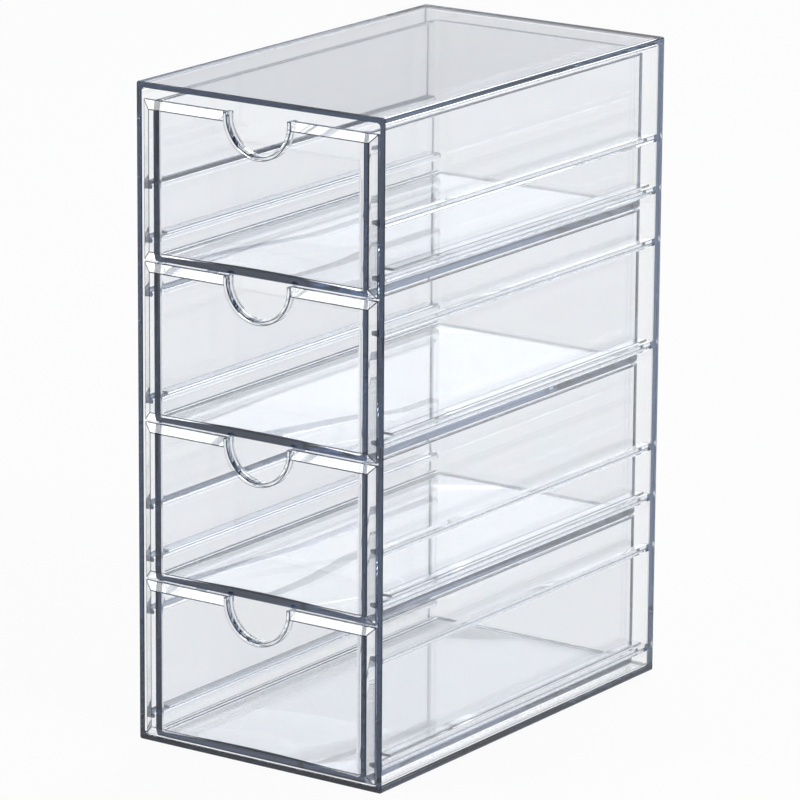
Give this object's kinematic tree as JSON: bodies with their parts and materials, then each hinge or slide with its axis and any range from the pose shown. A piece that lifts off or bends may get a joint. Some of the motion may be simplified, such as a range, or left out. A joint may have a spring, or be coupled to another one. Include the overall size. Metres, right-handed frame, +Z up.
{
  "type": "drawer organizer",
  "caption": "Tall clear plastic desktop cabinet with a stack of pull-out drawers that have bevelled fronts and round finger notches.",
  "frame": {"origin": "middle of the footprint of the whole object, at the level that it stands on", "axes": "+X to the right of a person facing the drawers, +Y to the back, +Z up"},
  "size_m": [0.109, 0.1836, 0.248],
  "materials": {
    "clear_case": "clear, polished polystyrene or acrylic moulding with faintly blue edges",
    "clear_drawer": "clear, polished polystyrene or acrylic moulding with faintly blue edges"
  },
  "bodies": {
    "cabinet": {"cabinet_shell": "clear_case"},
    "bottom_drawer": {"bottom_drawer": "clear_drawer"},
    "lower_drawer": {"lower_drawer": "clear_drawer"},
    "upper_drawer": {"upper_drawer": "clear_drawer"},
    "top_drawer": {"top_drawer": "clear_drawer"}
  },
  "joints": [
    {"name": "bottom_drawer_slide", "type": "slide", "parent": "cabinet", "child": "bottom_drawer", "axis": [0, -1, 0], "range_m": [0, 0.15]},
    {"name": "lower_drawer_slide", "type": "slide", "parent": "cabinet", "child": "lower_drawer", "axis": [0, -1, 0], "range_m": [0, 0.15]},
    {"name": "upper_drawer_slide", "type": "slide", "parent": "cabinet", "child": "upper_drawer", "axis": [0, -1, 0], "range_m": [0, 0.15]},
    {"name": "top_drawer_slide", "type": "slide", "parent": "cabinet", "child": "top_drawer", "axis": [0, -1, 0], "range_m": [0, 0.15]}
  ]
}
